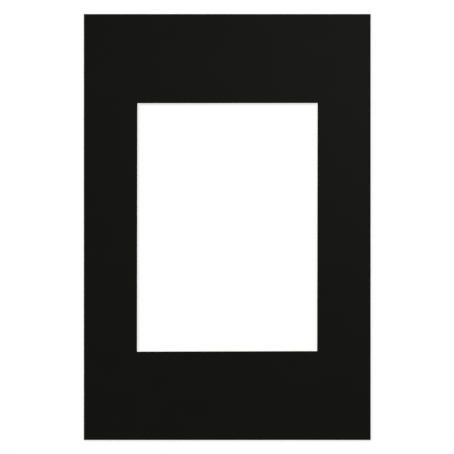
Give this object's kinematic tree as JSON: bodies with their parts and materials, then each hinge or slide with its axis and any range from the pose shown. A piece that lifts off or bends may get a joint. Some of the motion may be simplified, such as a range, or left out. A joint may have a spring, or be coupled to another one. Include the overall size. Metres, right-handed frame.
{
  "type": "picture mount",
  "caption": "Flat black mount board with a rectangular window cut at a bevel, so that its white core shows as a thin line round the print that it frames.",
  "frame": {"origin": "centre of the mount's outline on its back, in the plane that the back lies on", "axes": "+Z out of the face, +Y along the long side towards the top of the picture, +X to the right of someone looking at the face"},
  "size_m": [0.202, 0.3, 0.0016],
  "materials": {
    "core": "matte",
    "face": "matte"
  },
  "bodies": {
    "root": {"core_board": "core", "face_paper": "face"}
  },
  "joints": []
}
